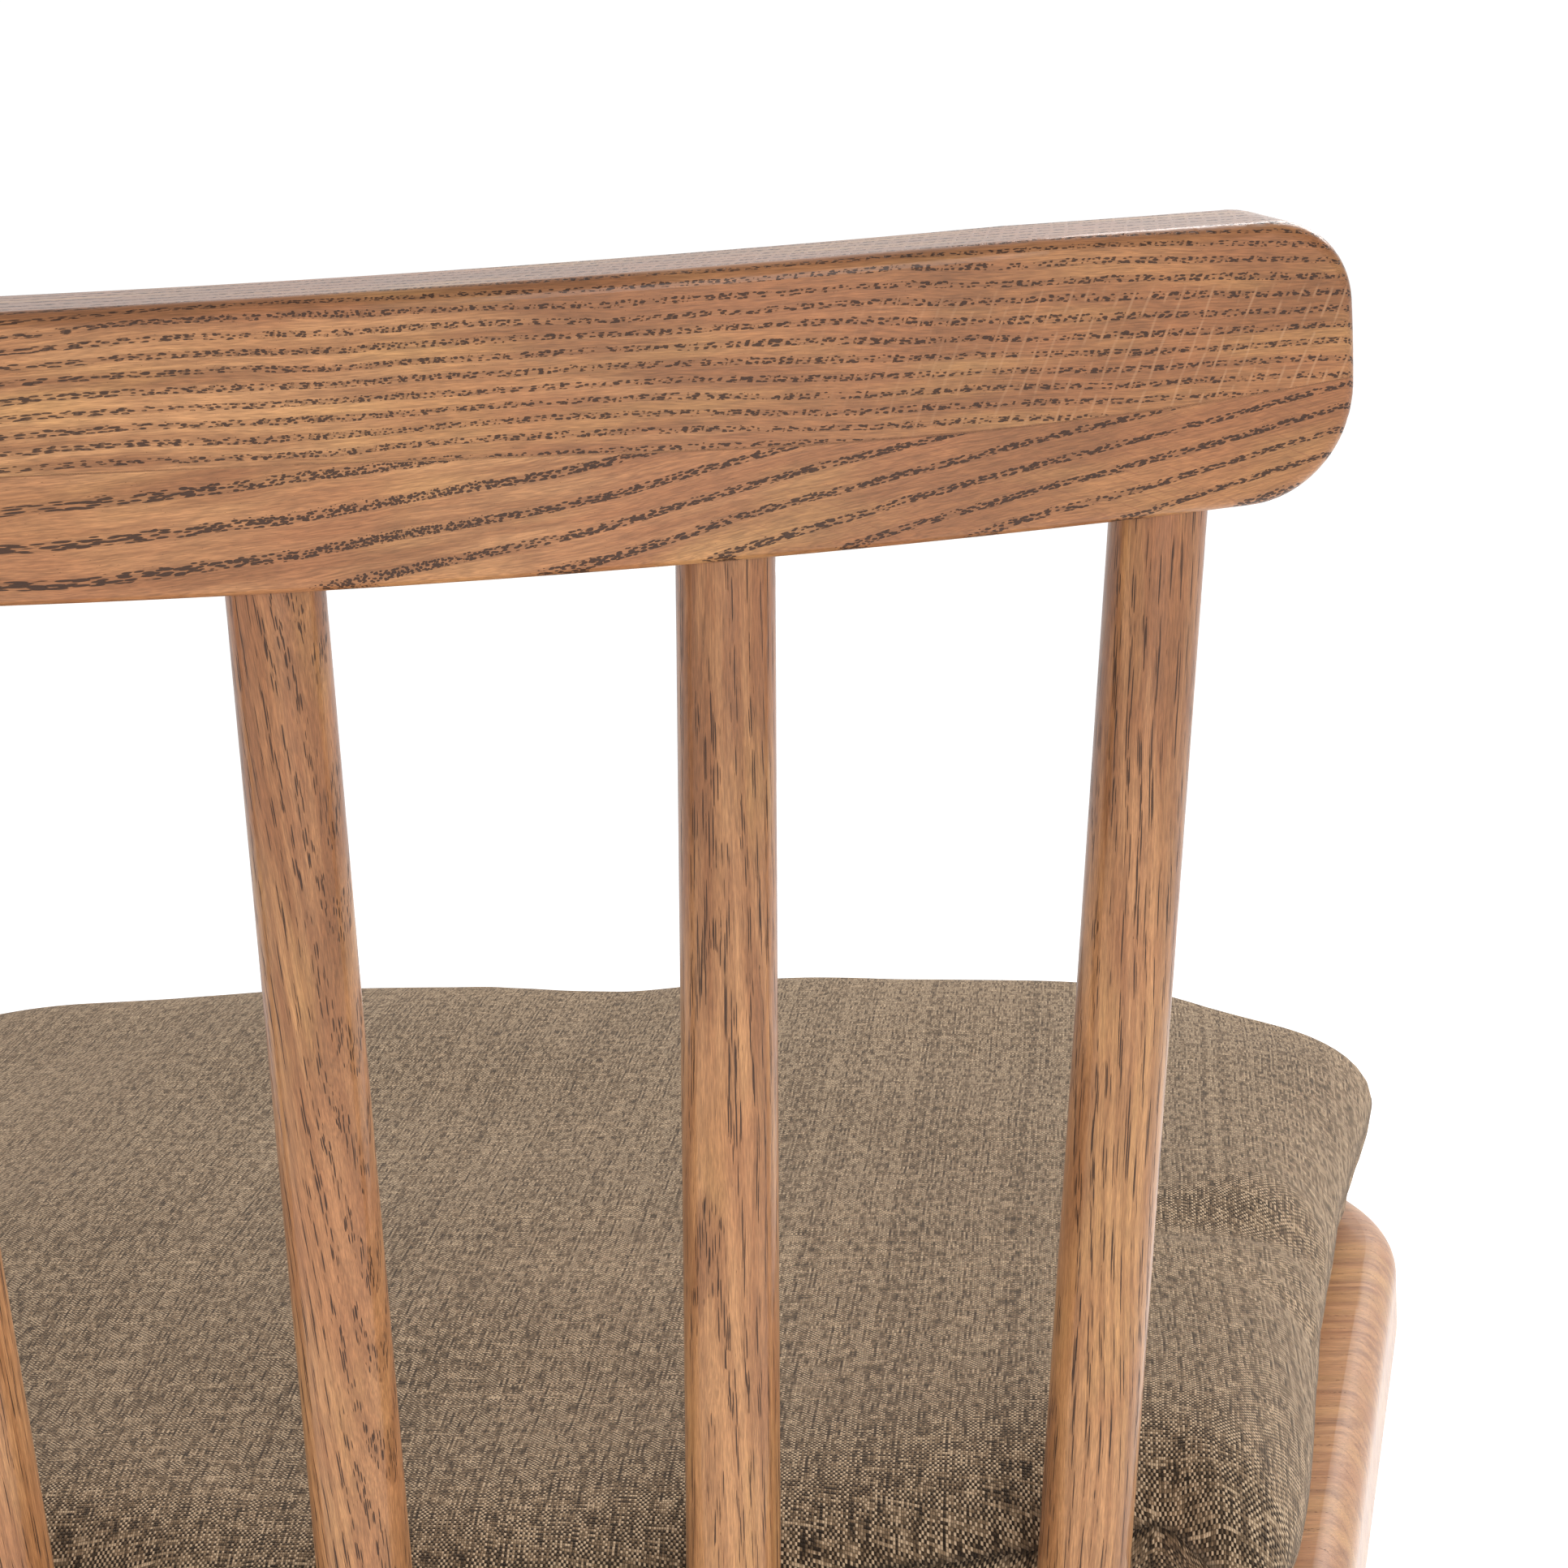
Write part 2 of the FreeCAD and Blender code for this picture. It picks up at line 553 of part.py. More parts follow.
for (end_name, side_name), leg in legs.items():
    save(one_solid(leg), "leg_%s_%s" % (end_name, side_name))
for (end_name, side_name), glide in glides.items():
    save(glide, "foot_glide_%s_%s" % (end_name, side_name))
save(Part.makeCompound(nails), "glide_nails")
save(Part.makeCompound(wedges), "leg_wedges")

for index in range(SEAT_GLUE_LINES + 1):
    save(seat_board(panel, index), "seat_board_%d" % (index + 1))

for name, shape in make_cushion().items():
    save(shape, name)
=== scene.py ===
import math

import bmesh
import bpy
import numpy as np
from mathutils import Matrix, Vector, noise


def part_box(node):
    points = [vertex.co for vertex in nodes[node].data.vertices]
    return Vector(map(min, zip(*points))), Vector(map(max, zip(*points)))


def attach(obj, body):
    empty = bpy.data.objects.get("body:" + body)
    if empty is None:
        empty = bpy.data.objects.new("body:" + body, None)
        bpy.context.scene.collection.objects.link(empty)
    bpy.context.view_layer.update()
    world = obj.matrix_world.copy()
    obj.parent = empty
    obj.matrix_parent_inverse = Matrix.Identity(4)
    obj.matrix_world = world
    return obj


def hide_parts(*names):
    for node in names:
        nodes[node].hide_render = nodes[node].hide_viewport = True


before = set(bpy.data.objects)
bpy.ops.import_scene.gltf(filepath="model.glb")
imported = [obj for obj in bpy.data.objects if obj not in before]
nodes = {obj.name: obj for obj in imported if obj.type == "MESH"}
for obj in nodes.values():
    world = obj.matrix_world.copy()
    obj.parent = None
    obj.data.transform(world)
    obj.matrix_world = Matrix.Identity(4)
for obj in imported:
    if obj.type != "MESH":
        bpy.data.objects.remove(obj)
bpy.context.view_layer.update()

scene = bpy.context.scene


# ---- studio: camera, floor and lights ----
# A close view over the sitter's right side of the back, from behind and a little above.
# The room is a plain white studio with a pale floor and large soft lamps.

camera_data = bpy.data.cameras.new("camera")
camera_data.sensor_width = 36.0
camera_data.lens = 75.4
camera = bpy.data.objects.new("camera", camera_data)
camera_turn = math.radians(186.04)
camera_tilt = math.radians(90 - 10.34)
camera_roll = math.radians(-2.92)
camera.matrix_world = (
    Matrix.Translation((-0.2015, 0.8417, 0.7437))
    @ Matrix.Rotation(camera_turn, 4, "Z")
    @ Matrix.Rotation(camera_tilt, 4, "X")
    @ Matrix.Rotation(camera_roll, 4, "Z"))
scene.collection.objects.link(camera)
scene.camera = camera
scene.view_settings.view_transform = "Standard"


def add(tree, kind, sockets=None, **settings):
    """Add one shader node; each socket is given a value or is joined to an output."""
    node = tree.nodes.new("ShaderNode" + kind)
    for key, value in settings.items():
        setattr(node, key, value)
    for key, value in (sockets or {}).items():
        if isinstance(value, bpy.types.NodeSocket):
            tree.links.new(value, node.inputs[key])
        else:
            node.inputs[key].default_value = value
    return node


def calc(tree, operation, *values):
    """The result of one sum on numbers or outputs."""
    return add(tree, "Math", dict(enumerate(values)), operation=operation).outputs[0]


def ramp(tree, value, low, high, start=0.0, end=1.0):
    """Ease a number from start to end as it goes from low to high."""
    node = add(tree, "MapRange", {0: value, 1: low, 2: high, 3: start, 4: end},
               interpolation_type="SMOOTHSTEP")
    return node.outputs[0]


def new_material(name):
    """An empty material with its surface shader."""
    material = bpy.data.materials.new(name)
    material.use_nodes = True
    tree = material.node_tree
    tree.nodes.clear()
    shader = add(tree, "BsdfPrincipled")
    output = add(tree, "OutputMaterial")
    tree.links.new(shader.outputs[0], output.inputs[0])
    return material, tree, shader


def finish_with(obj, material):
    """Give a piece its finish."""
    obj.data.materials.clear()
    obj.data.materials.append(material)


world = bpy.data.worlds.new("studio")
world.use_nodes = True
tree = world.node_tree
facing = add(tree, "SeparateXYZ", {0: add(tree, "TexCoord").outputs["Generated"]})
backdrop = ramp(tree, calc(tree, "MULTIPLY", facing.outputs[1], -1.0), 0.55, 0.90, 0.0, 0.85)
fill = ramp(tree, facing.outputs[1], 0.1, 0.9, 0.0, 0.28)
ceiling = ramp(tree, facing.outputs[2], 0.2, 0.9, 0.0, 0.30)
horizon = ramp(tree, calc(tree, "ABSOLUTE", facing.outputs[2]), 0.10, 0.35, 0.45, 0.0)
walls = calc(tree, "MAXIMUM", backdrop, horizon)
glow = calc(tree, "ADD", calc(tree, "ADD", walls, fill), calc(tree, "ADD", ceiling, 0.20))
tree.nodes["Background"].inputs[0].default_value = (1.0, 1.0, 1.0, 1.0)
tree.links.new(glow, tree.nodes["Background"].inputs[1])
scene.world = world

floor_form = bmesh.new()
bmesh.ops.create_grid(floor_form, x_segments=2, y_segments=2, size=12.0)
floor_mesh = bpy.data.meshes.new("floor")
floor_form.to_mesh(floor_mesh)
floor_form.free()
floor = bpy.data.objects.new("floor", floor_mesh)
scene.collection.objects.link(floor)
floor_material, tree, shader = new_material("pale floor")
shader.inputs["Base Color"].default_value = (0.80, 0.80, 0.80, 1.0)
shader.inputs["Roughness"].default_value = 0.9
shader.inputs["Emission Color"].default_value = (1.0, 1.0, 1.0, 1.0)
shader.inputs["Emission Strength"].default_value = 0.66
finish_with(floor, floor_material)


def soft_lamp(name, place, aim, size, power):
    """A large square lamp that faces a point."""
    data = bpy.data.lights.new(name, "AREA")
    data.size = size
    data.energy = power
    lamp = bpy.data.objects.new(name, data)
    direction = Vector(aim) - Vector(place)
    lamp.matrix_world = Matrix.Translation(place) @ direction.to_track_quat("-Z", "Y").to_matrix().to_4x4()
    scene.collection.objects.link(lamp)
    return lamp


soft_lamp("front lamp", (-0.8, -0.90, 1.65), (0.0, -0.2, 0.45), 1.0, 28.0)
soft_lamp("back lamp", (-0.8, 2.2, 0.95), (0.0, 0.1, 0.55), 1.1, 14.5)


# ---- crest rail ----
# One oak plank, steamed and bent, planed and sanded with rounded edges and ends.
# It is stained a mid warm brown and lacquered to a satin shine that leaves the pores open.

OAK_LIGHT = (0.49, 0.240, 0.102, 1.0)
OAK_DARK = (0.25, 0.101, 0.038, 1.0)
OAK_RED = (0.36, 0.142, 0.057, 1.0)
OAK_GOLD = (0.52, 0.275, 0.100, 1.0)
OAK_PALE = (0.62, 0.36, 0.20, 1.0)
OAK_RAY = (0.22, 0.080, 0.034, 1.0)
OAK_PORE = (0.030, 0.010, 0.004, 1.0)
RAY_SPACING = 3.0


def tint(tree, factor, first, second, mode="MIX"):
    """Blend two colours."""
    node = add(tree, "Mix", {0: factor, 6: first, 7: second}, data_type="RGBA", blend_type=mode)
    return node.outputs[2]


def vector(tree, x, y, z):
    """Three numbers as one vector."""
    return add(tree, "CombineXYZ", {0: x, 1: y, 2: z}).outputs[0]


def cloudy(tree, place, scale, detail=2.0, rough=0.5):
    """Smooth noise about one half."""
    node = add(tree, "TexNoise", {"Vector": place, "Scale": scale, "Detail": detail, "Roughness": rough})
    return node.outputs[0]


def oak_group():
    """Stained oak. Grain is along the grain, across the rings and across both, in mm."""
    tree = bpy.data.node_groups.new("stained oak", "ShaderNodeTree")
    tree.interface.new_socket("Grain", in_out="INPUT", socket_type="NodeSocketVector")
    for name in ("Ring gap", "Ring shift", "Pore length", "Pore width", "Pore fill", "Band", "Breaks",
                 "Rays", "Ray lean", "Ripple", "Gaps", "Red", "Tone"):
        tree.interface.new_socket(name, in_out="INPUT", socket_type="NodeSocketFloat")
    for name, kind in (("Colour", "Color"), ("Roughness", "Float"), ("Height", "Float")):
        tree.interface.new_socket(name, in_out="OUTPUT", socket_type="NodeSocket" + kind)
    given = tree.nodes.new("NodeGroupInput")
    result = tree.nodes.new("NodeGroupOutput")
    parts = add(tree, "SeparateXYZ", {0: given.outputs["Grain"]})
    along, across, edge = parts.outputs[0], parts.outputs[1], parts.outputs[2]

    def stretched(long, first, second, detail=2.0, rough=0.5, row=None):
        """Noise drawn out along the grain, its sizes given in mm."""
        place = vector(tree, calc(tree, "DIVIDE", along, long),
                       calc(tree, "DIVIDE", row or across, first), calc(tree, "DIVIDE", edge, second))
        return cloudy(tree, place, 1.0, detail, rough)

    # The rings wander slowly and ripple finely. Each opens with a porous spring band.
    wander = calc(tree, "MULTIPLY", calc(tree, "SUBTRACT", stretched(85.0, 26.0, 18.0), 0.5), 5.0)
    ripple = calc(tree, "SUBTRACT", stretched(7.0, 3.0, 3.0, 1.0), 0.5)
    ripple = calc(tree, "MULTIPLY", ripple, given.outputs["Ripple"])
    ring = calc(tree, "ADD", across, calc(tree, "ADD", wander, ripple))
    moved_ring = calc(tree, "ADD", ring, given.outputs["Ring shift"])
    phase = calc(tree, "FRACT", calc(tree, "DIVIDE", moved_ring, given.outputs["Ring gap"]))
    band_end = calc(tree, "SUBTRACT", phase, given.outputs["Band"])
    spring = calc(tree, "MULTIPLY", ramp(tree, phase, 0.0, 0.04), ramp(tree, band_end, -0.06, 0.06, 1.0, 0.0))

    # Rays cross the grain as short leaning flecks.
    ray_line = calc(tree, "SUBTRACT", along, calc(tree, "MULTIPLY", across, given.outputs["Ray lean"]))
    ray_bend = calc(tree, "MULTIPLY", stretched(14.0, 16.0, 16.0), 2.5)
    ray_phase = calc(tree, "FRACT", calc(tree, "DIVIDE", calc(tree, "ADD", ray_line, ray_bend), RAY_SPACING))
    off_ray = calc(tree, "ABSOLUTE", calc(tree, "SUBTRACT", ray_phase, 0.5))
    ray = ramp(tree, off_ray, 0.035, 0.13, 1.0, 0.0)
    ray = calc(tree, "MULTIPLY", ray, ramp(tree, stretched(3.0, 4.0, 6.0), 0.43, 0.58))
    ray_amount = calc(tree, "MULTIPLY", ray, given.outputs["Rays"])

    # Open pores are long narrow cells, thick in the spring band and broken by the rays.
    pore_place = vector(tree, calc(tree, "DIVIDE", along, given.outputs["Pore length"]),
                        calc(tree, "DIVIDE", ring, given.outputs["Pore width"]),
                        calc(tree, "DIVIDE", edge, given.outputs["Pore width"]))
    pore_cell = add(tree, "TexVoronoi", {"Vector": pore_place, "Scale": 1.0, "Randomness": 0.9},
                    voronoi_dimensions="3D", feature="F1")
    clump = calc(tree, "MULTIPLY_ADD", given.outputs["Pore length"], 2.0, 2.0)
    absence = ramp(tree, stretched(clump, 1.6, 1.6, 1.0), 0.32, 0.48, 1.0, 0.0)
    presence = calc(tree, "SUBTRACT", 1.0, calc(tree, "MULTIPLY", absence, given.outputs["Gaps"]))
    reach = calc(tree, "MULTIPLY", calc(tree, "MULTIPLY", spring, presence), given.outputs["Pore fill"])
    reach = calc(tree, "ADD", reach, 0.06)
    pore = ramp(tree, calc(tree, "SUBTRACT", pore_cell.outputs["Distance"], reach), -0.08, 0.03, 1.0, 0.0)
    split = ramp(tree, off_ray, 0.07, 0.16, 1.0, 0.0)
    gap = calc(tree, "SUBTRACT", 1.0, calc(tree, "MULTIPLY", split, given.outputs["Breaks"]))
    pore = calc(tree, "MULTIPLY", pore, gap)

    # Fibres and streaks lie along the grain, with broad patches of warmer and redder stain.
    fibre = stretched(6.0, 0.30, 0.30, 2.0, 0.65, ring)
    streak = stretched(55.0, 3.0, 5.0, 3.0, 0.55, ring)
    patch = stretched(40.0, 22.0, 22.0)
    warmth = stretched(60.0, 9.0, 12.0)

    tone = calc(tree, "ADD", ramp(tree, streak, 0.30, 0.70), given.outputs["Tone"])
    tone = calc(tree, "MAXIMUM", calc(tree, "MINIMUM", tone, 1.3), 0.0)
    colour = tint(tree, tone, OAK_LIGHT, OAK_DARK)
    colour = tint(tree, ramp(tree, warmth, 0.46, 0.68, 0.0, 0.5), colour, OAK_GOLD)
    red = calc(tree, "ADD", ramp(tree, patch, 0.40, 0.70, 0.0, 0.6), given.outputs["Red"])
    colour = tint(tree, red, colour, OAK_RED)
    colour = tint(tree, calc(tree, "MULTIPLY", spring, 0.35), colour, OAK_DARK)
    fine = stretched(2.5, 0.17, 0.17, 1.0, 0.5, ring)
    grey = calc(tree, "MULTIPLY", ramp(tree, fibre, 0.25, 0.75, 0.74, 1.20),
                ramp(tree, fine, 0.25, 0.75, 0.84, 1.12))
    colour = tint(tree, 1.0, colour, vector(tree, grey, grey, grey), "MULTIPLY")
    light_ray = calc(tree, "MAXIMUM", calc(tree, "MULTIPLY", ray_amount, 0.24), 0.0)
    dark_ray = calc(tree, "MAXIMUM", calc(tree, "MULTIPLY", ray_amount, -0.40), 0.0)
    colour = tint(tree, light_ray, colour, OAK_PALE)
    colour = tint(tree, dark_ray, colour, OAK_RAY)
    colour = tint(tree, calc(tree, "MULTIPLY", pore, 0.92), colour, OAK_PORE)

    shine = calc(tree, "MULTIPLY_ADD", pore, 0.25, calc(tree, "MULTIPLY_ADD", fibre, 0.16, 0.32))
    height = calc(tree, "SUBTRACT", calc(tree, "MULTIPLY", fibre, 0.12), pore)
    tree.links.new(colour, result.inputs["Colour"])
    tree.links.new(shine, result.inputs["Roughness"])
    tree.links.new(height, result.inputs["Height"])
    return tree


stained_oak = oak_group()


def oak_material(name, make_grain, **amounts):
    """One piece's oak, with its grain laid by make_grain(tree). Lengths are in mm."""
    material, tree, shader = new_material(name)
    wood = add(tree, "Group", node_tree=stained_oak)
    given = {"Ring gap": 3.0, "Ring shift": 0.0, "Pore length": 3.0, "Pore width": 0.32, "Pore fill": 0.42,
             "Band": 0.36, "Breaks": 0.0, "Rays": 0.0, "Ray lean": 0.42, "Ripple": 0.15, "Gaps": 1.0,
             "Red": 0.0, "Tone": 0.0}
    given.update(amounts)
    given.update(make_grain(tree))
    for key, value in given.items():
        if isinstance(value, bpy.types.NodeSocket):
            tree.links.new(value, wood.inputs[key])
        else:
            wood.inputs[key].default_value = value
    relief = add(tree, "Bump", {"Strength": 0.8, "Distance": 0.0003, "Height": wood.outputs["Height"]})
    tree.links.new(wood.outputs["Colour"], shader.inputs["Base Color"])
    tree.links.new(wood.outputs["Roughness"], shader.inputs["Roughness"])
    tree.links.new(relief.outputs[0], shader.inputs["Normal"])
    shader.inputs["Specular IOR Level"].default_value = 0.30
    shader.inputs["Coat Weight"].default_value = 0.28
    shader.inputs["Coat Roughness"].default_value = 0.10
    return material


RAIL_RADIUS = 630.0
RAIL_LEAN = math.radians(7.1)
RAIL_FOOT = Vector((0.0, 0.2503, 0.673))
TOP_ROUNDING = 50.0
BORDER_LEVEL = 24.5
BORDER_START = 120.0
RING_LEVEL = 15.0
RING_CURVE = 0.0006
BEND_START = -20.0
BEND_END = 110.0
STRAIGHT_SLOPE = 0.175


def rail_grain(tree):
    """Grain along the bend, in mm from the rail's middle and up from its lower edge.

    Above a border the rings run level; below it they rise and close up to the sitter's right.
    """
    turn = Matrix.Rotation(-RAIL_LEAN, 3, "X")
    start = -(turn @ RAIL_FOOT) * 1000
    place = add(tree, "TexCoord").outputs["Object"]
    local = add(tree, "Mapping", {"Vector": place, "Scale": (1000, 1000, 1000),
                                  "Rotation": turn.to_euler(), "Location": start})
    part = add(tree, "SeparateXYZ", {0: local.outputs[0]})
    inward = calc(tree, "ADD", part.outputs[1], RAIL_RADIUS)
    side = calc(tree, "MULTIPLY", part.outputs[0], -1.0)
    along = calc(tree, "MULTIPLY", calc(tree, "ARCTAN2", side, inward), RAIL_RADIUS)
    reach = calc(tree, "SQRT", calc(tree, "ADD", calc(tree, "MULTIPLY", side, side),
                                    calc(tree, "MULTIPLY", inward, inward)))
    deep = calc(tree, "SUBTRACT", RAIL_RADIUS, reach)
    up = part.outputs[2]
    level = calc(tree, "MULTIPLY_ADD", along, -0.02, up)
    past = calc(tree, "MAXIMUM", calc(tree, "SUBTRACT", along, BORDER_START), 0.0)
    border = calc(tree, "MULTIPLY_ADD", calc(tree, "MULTIPLY", past, past), RING_CURVE, BORDER_LEVEL)
    low = ramp(tree, calc(tree, "SUBTRACT", up, border), -0.4, 0.0, 1.0, 0.0)
    high = calc(tree, "SUBTRACT", 1.0, low)
    bent = calc(tree, "SUBTRACT", calc(tree, "MINIMUM", along, BEND_END), BEND_START)
    bent = calc(tree, "MAXIMUM", bent, 0.0)
    straight = calc(tree, "MAXIMUM", calc(tree, "SUBTRACT", along, BEND_END), 0.0)
    rise = calc(tree, "MULTIPLY_ADD", calc(tree, "MULTIPLY", bent, bent), RING_CURVE,
                calc(tree, "MULTIPLY", straight, STRAIGHT_SLOPE))
    below = calc(tree, "SUBTRACT", calc(tree, "SUBTRACT", up, RING_LEVEL), rise)
    closing = calc(tree, "MULTIPLY", calc(tree, "MAXIMUM", calc(tree, "SUBTRACT", along, 50.0), 0.0), 0.0027)
    closing = calc(tree, "MULTIPLY", calc(tree, "MULTIPLY", below, closing), low)
    across = calc(tree, "ADD", calc(tree, "MULTIPLY", level, high), calc(tree, "MULTIPLY", below, low))
    across = calc(tree, "MULTIPLY_ADD", deep, 0.55, across)
    breaks = calc(tree, "MULTIPLY", ramp(tree, along, -20.0, 110.0), high)
    right = ramp(tree, along, 60.0, 200.0)
    under_rounding = ramp(tree, up, TOP_ROUNDING, TOP_ROUNDING + 3.0, 1.0, 0.0)
    pale = calc(tree, "MULTIPLY", ramp(tree, along, 120.0, 235.0), under_rounding)
    rays = calc(tree, "SUBTRACT", calc(tree, "MULTIPLY", pale, high), calc(tree, "MULTIPLY", right, low))
    ray_lean = calc(tree, "MULTIPLY_ADD", low, -2.5, 0.42)
    left = ramp(tree, along, -60.0, 90.0, 1.0, 0.0)
    long_pores = calc(tree, "ADD", calc(tree, "MULTIPLY", left, 2.2),
                      calc(tree, "MULTIPLY", calc(tree, "MULTIPLY", left, low), 3.0))
    # Partly painted shade and partly stain: the wood is darker along the top round-over, standing in for the
    # round-over turning away from the light, with stain gathered in it.
    rounding_shade_and_stain = calc(tree, "MULTIPLY", ramp(tree, up, TOP_ROUNDING, TOP_ROUNDING + 2.0), 1.3)
    foot_dark = calc(tree, "MULTIPLY", calc(tree, "MULTIPLY", left, low), 0.35)
    # Painted shade: the rail is darker towards the sitter's right end, holding back the back lamp's light
    # there.
    painted_end_shade = calc(tree, "MULTIPLY", ramp(tree, along, 60.0, 210.0), 0.95)
    return {"Grain": vector(tree, along, across, deep), "Breaks": breaks, "Rays": rays, "Ray lean": ray_lean,
            "Ring gap": calc(tree, "MULTIPLY_ADD", low, 3.3, 2.6), "Ring shift": closing,
            "Band": calc(tree, "MULTIPLY_ADD", low, -0.12, 0.42),
            "Pore length": calc(tree, "ADD", long_pores, 1.15),
            "Pore fill": calc(tree, "MULTIPLY_ADD", low, 0.06, 0.45),
            "Red": calc(tree, "MULTIPLY", low, 0.1),
            "Tone": calc(tree, "ADD", calc(tree, "ADD", rounding_shade_and_stain, painted_end_shade), foot_dark)}


rail_oak = oak_material("rail oak", rail_grain, **{"Pore width": 0.38, "Ripple": 0.35, "Gaps": 0.3})
finish_with(nodes["crest_rail"], rail_oak)


# ---- spindles ----
# Six plain oak rods, turned from straight-grained stock and a little thicker at the foot.
# Each is glued by a round tenon into the rail and into the seat.

def straight_grain(node, ring_turn, lean, shift):
    """Grain along a straight piece, with its rings turned and leaning as given."""
    points = np.array([v.co for v in nodes[node].data.vertices])
    centre = points.mean(axis=0)
    spread = np.linalg.eigh(np.cov((points - centre).T))
    axis = Vector(spread[1][:, -1])
    if axis.z < 0:
        axis.negate()
    turn = axis.rotation_difference(Vector((1, 0, 0))).to_matrix()
    start = -(turn @ Vector(centre)) * 1000

    def make(tree):
        place = add(tree, "TexCoord").outputs["Object"]
        local = add(tree, "Mapping", {"Vector": place, "Scale": (1000, 1000, 1000),
                                      "Rotation": turn.to_euler(), "Location": start})
        part = add(tree, "SeparateXYZ", {0: local.outputs[0]})
        along, y, z = part.outputs[0], part.outputs[1], part.outputs[2]
        across = calc(tree, "ADD", calc(tree, "MULTIPLY", y, math.cos(ring_turn)),
                      calc(tree, "MULTIPLY", z, math.sin(ring_turn)))
        across = calc(tree, "MULTIPLY_ADD", along, lean, across)
        edge = calc(tree, "SUBTRACT", calc(tree, "MULTIPLY", z, math.cos(ring_turn)),
                    calc(tree, "MULTIPLY", y, math.sin(ring_turn)))
        # Painted shade: each piece is darker towards its upper end, standing in for the shadow under the rail
        # on the spindles.
        painted_top_shade = ramp(tree, along, -30.0, 135.0, 0.0, 0.85)
        moved_along = calc(tree, "ADD", along, shift)
        moved_across = calc(tree, "ADD", across, shift)
        return {"Grain": vector(tree, moved_along, moved_across, edge),
                "Tone": calc(tree, "SUBTRACT", painted_top_shade, 0.40)}
    return make


TURNED_OAK = {"Ring gap": 2.2, "Pore length": 19.0, "Pore width": 0.36, "Pore fill": 0.31,
              "Band": 0.50, "Gaps": 0.5}
spindle_cuts = ((0.4, 0.02), (1.3, 0.03), (2.2, 0.02), (0.9, 0.09), (2.7, 0.015), (1.8, 0.03))
for number, (ring_turn, lean) in enumerate(spindle_cuts, start=1):
    name = "spindle_%d" % number
    grain = straight_grain(name, ring_turn, lean, 40.0 * number)
    finish_with(nodes[name], oak_material(name + " oak", grain, **TURNED_OAK))


# ---- seat ----
# Five oak boards glued edge to edge, their grain from side to side. The blank is cut to
# shape, rounded over, bored for the spindles and legs, and stained like the rail.

for number in range(1, 6):
    name = "seat_board_%d" % number

    def board_grain(tree, shift=number * 31.0):
        place = add(tree, "TexCoord").outputs["Object"]
        part = add(tree, "SeparateXYZ", {0: add(
            tree, "Mapping", {"Vector": place, "Scale": (1000, 1000, 1000)}).outputs[0]})
        along = calc(tree, "ADD", part.outputs[0], shift)
        across = calc(tree, "MULTIPLY_ADD", part.outputs[1], 0.35, calc(tree, "ADD", part.outputs[2], shift))
        return {"Grain": vector(tree, along, across, part.outputs[1])}

    board_oak = oak_material(name + " oak", board_grain, **{
        "Ring gap": 3.6, "Pore length": 1.6, "Pore fill": 0.22, "Band": 0.12,
        "Tone": -0.35 + 0.05 * number})
    finish_with(nodes[name], board_oak)


# ---- legs, stretchers and wedges ----
# Turned oak legs that splay outwards, tied by turned stretchers. Each leg's tenon comes
# through the seat and is spread by a dark hardwood wedge.

turned = ["leg_%s_%s" % (end, side) for end in ("front", "back") for side in ("left", "right")]
turned += ["side_stretcher_left", "side_stretcher_right", "cross_stretcher"]
for number, name in enumerate(turned):
    grain = straight_grain(name, 0.7 * number, 0.015, 25.0 * number)
    finish_with(nodes[name], oak_material(name + " oak", grain, **TURNED_OAK))

wedge_material = oak_material("wedge wood", straight_grain("leg_wedges", 0.3, 0.0, 5.0), **{
    "Ring gap": 2.0, "Pore length": 2.0, "Pore fill": 0.2, "Red": 0.8})
finish_with(nodes["leg_wedges"], wedge_material)


# ---- loose cushion ----
# Two panels of plain-weave linen sewn together round the edge and filled with a foam
# slab wrapped in fibre. It lies loose on the seat, its back edge bowed to the spindles.

cover_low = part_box("cushion_cover_bottom")[0]
cover_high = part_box("cushion_cover_top")[1]
CUSHION_FLARE = 0.122
CUSHION_BOW = 0.5295
seam_z = (cover_low.z + cover_high.z) / 2
half_thick = (cover_high.z - cover_low.z) / 2
front_y, back_y = cover_low.y, cover_high.y
FRONT_SPREAD = 0.018
front_half = cover_high.x + FRONT_SPREAD
FRONT_SQUARENESS = 5.5
BACK_SQUARENESS = 19.5
CORNER_SWEEP = 0.030
SWEEP_START = 0.205
SWEEP_WIDTH = 0.025
PATTERN_GROWTH = 1.055
PANEL_BULGE = 0.010
LOWER_CLOTH_SHIFT = Vector((0.7313, 0.4129))


def cushion_outline(a, b):
    """Where a point of a square, from -1 to 1 each way, lies in the cushion's plan."""
    corner = FRONT_SQUARENESS + (BACK_SQUARENESS - FRONT_SQUARENESS) * (b + 1) / 2
    far = max(abs(a), abs(b), 1e-6)
    round_far = (abs(a) ** corner + abs(b) ** corner) ** (1 / corner)
    pull = 1 + (far / max(round_far, 1e-6) - 1) * far ** 3
    a, b = a * pull, b * pull
    deep = (b + 1) / 2
    y = front_y + (back_y - front_y) * deep
    x = a * (front_half - CUSHION_FLARE * (y - front_y))
    y -= deep * x * x / (2 * CUSHION_BOW)
    y += CORNER_SWEEP * deep ** 3 * min(1.0, max(0.0, (abs(x) - SWEEP_START) / SWEEP_WIDTH))
    return x, y


